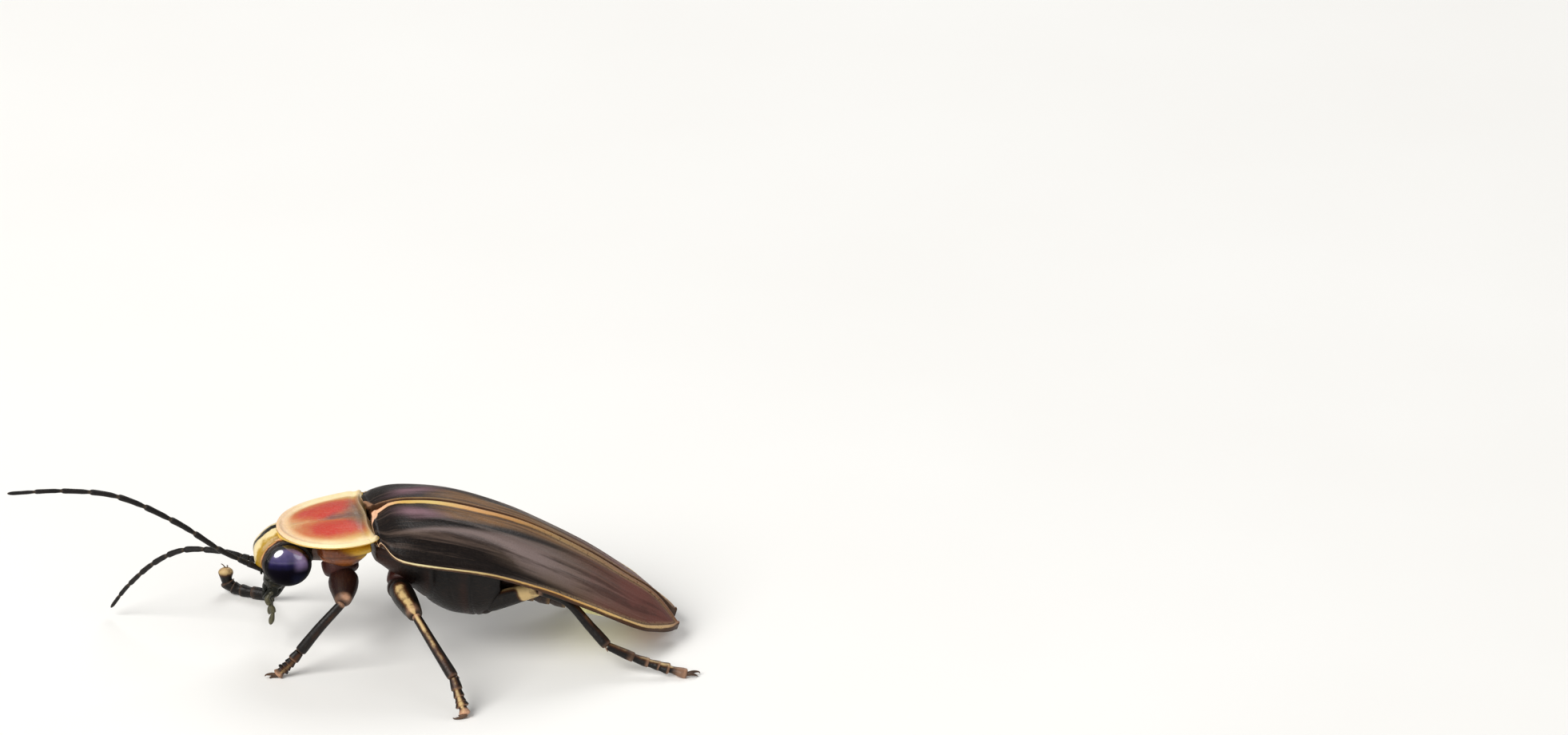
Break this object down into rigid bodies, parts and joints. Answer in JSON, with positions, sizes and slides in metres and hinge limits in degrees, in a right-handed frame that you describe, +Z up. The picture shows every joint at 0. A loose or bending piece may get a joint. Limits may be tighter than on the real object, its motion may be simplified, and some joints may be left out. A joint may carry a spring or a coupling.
{
  "type": "firefly",
  "caption": "Life-size firefly standing head-up, with a half-round shield over its head, long wing cases, long feelers and a pale light organ under the tail.",
  "frame": {"origin": "centre of the outline seen from above, on the floor that the feet stand on", "axes": "+Z up, -X towards the head, +X towards the tail, -Y towards the animal's left side"},
  "size_m": [0.0259, 0.0142, 0.0077],
  "materials": {
    "wing_case": "brown-black cuticle, satin, finely grained, with a straw-yellow edge",
    "shield": "cream-yellow cuticle with two red patches and a dark middle streak",
    "orange_underside": "orange-red cuticle, satin",
    "face": "ochre forehead fading to black at the front",
    "eye": "deep violet-black facetted eye, glossy",
    "feeler": "black-brown cuticle with very short hair",
    "leg": "dark brown cuticle with paler joints and toes",
    "dark_body": "blue-black cuticle, glossy",
    "belly": "dark brown cuticle with paler ring edges",
    "light_organ": "pale greenish-yellow, waxy",
    "tail": "ochre-orange cuticle, satin"
  },
  "bodies": {
    "root": {"head": "face", "eye_left": "eye", "eye_right": "eye", "antenna_left": "feeler", "antenna_right": "feeler", "palp_left": "feeler", "palp_right": "feeler", "pronotum": "shield", "prothorax": "orange_underside", "scutellum": "orange_underside", "thorax": "dark_body", "abdomen": "belly", "lantern_front": "light_organ", "lantern_rear": "light_organ", "tail_tip": "tail", "wing_case_left": "wing_case", "wing_case_right": "wing_case", "front_leg_left": "leg", "front_leg_right": "leg", "mid_leg_left": "leg", "mid_leg_right": "leg", "hind_leg_left": "leg", "hind_leg_right": "leg"}
  },
  "joints": []
}
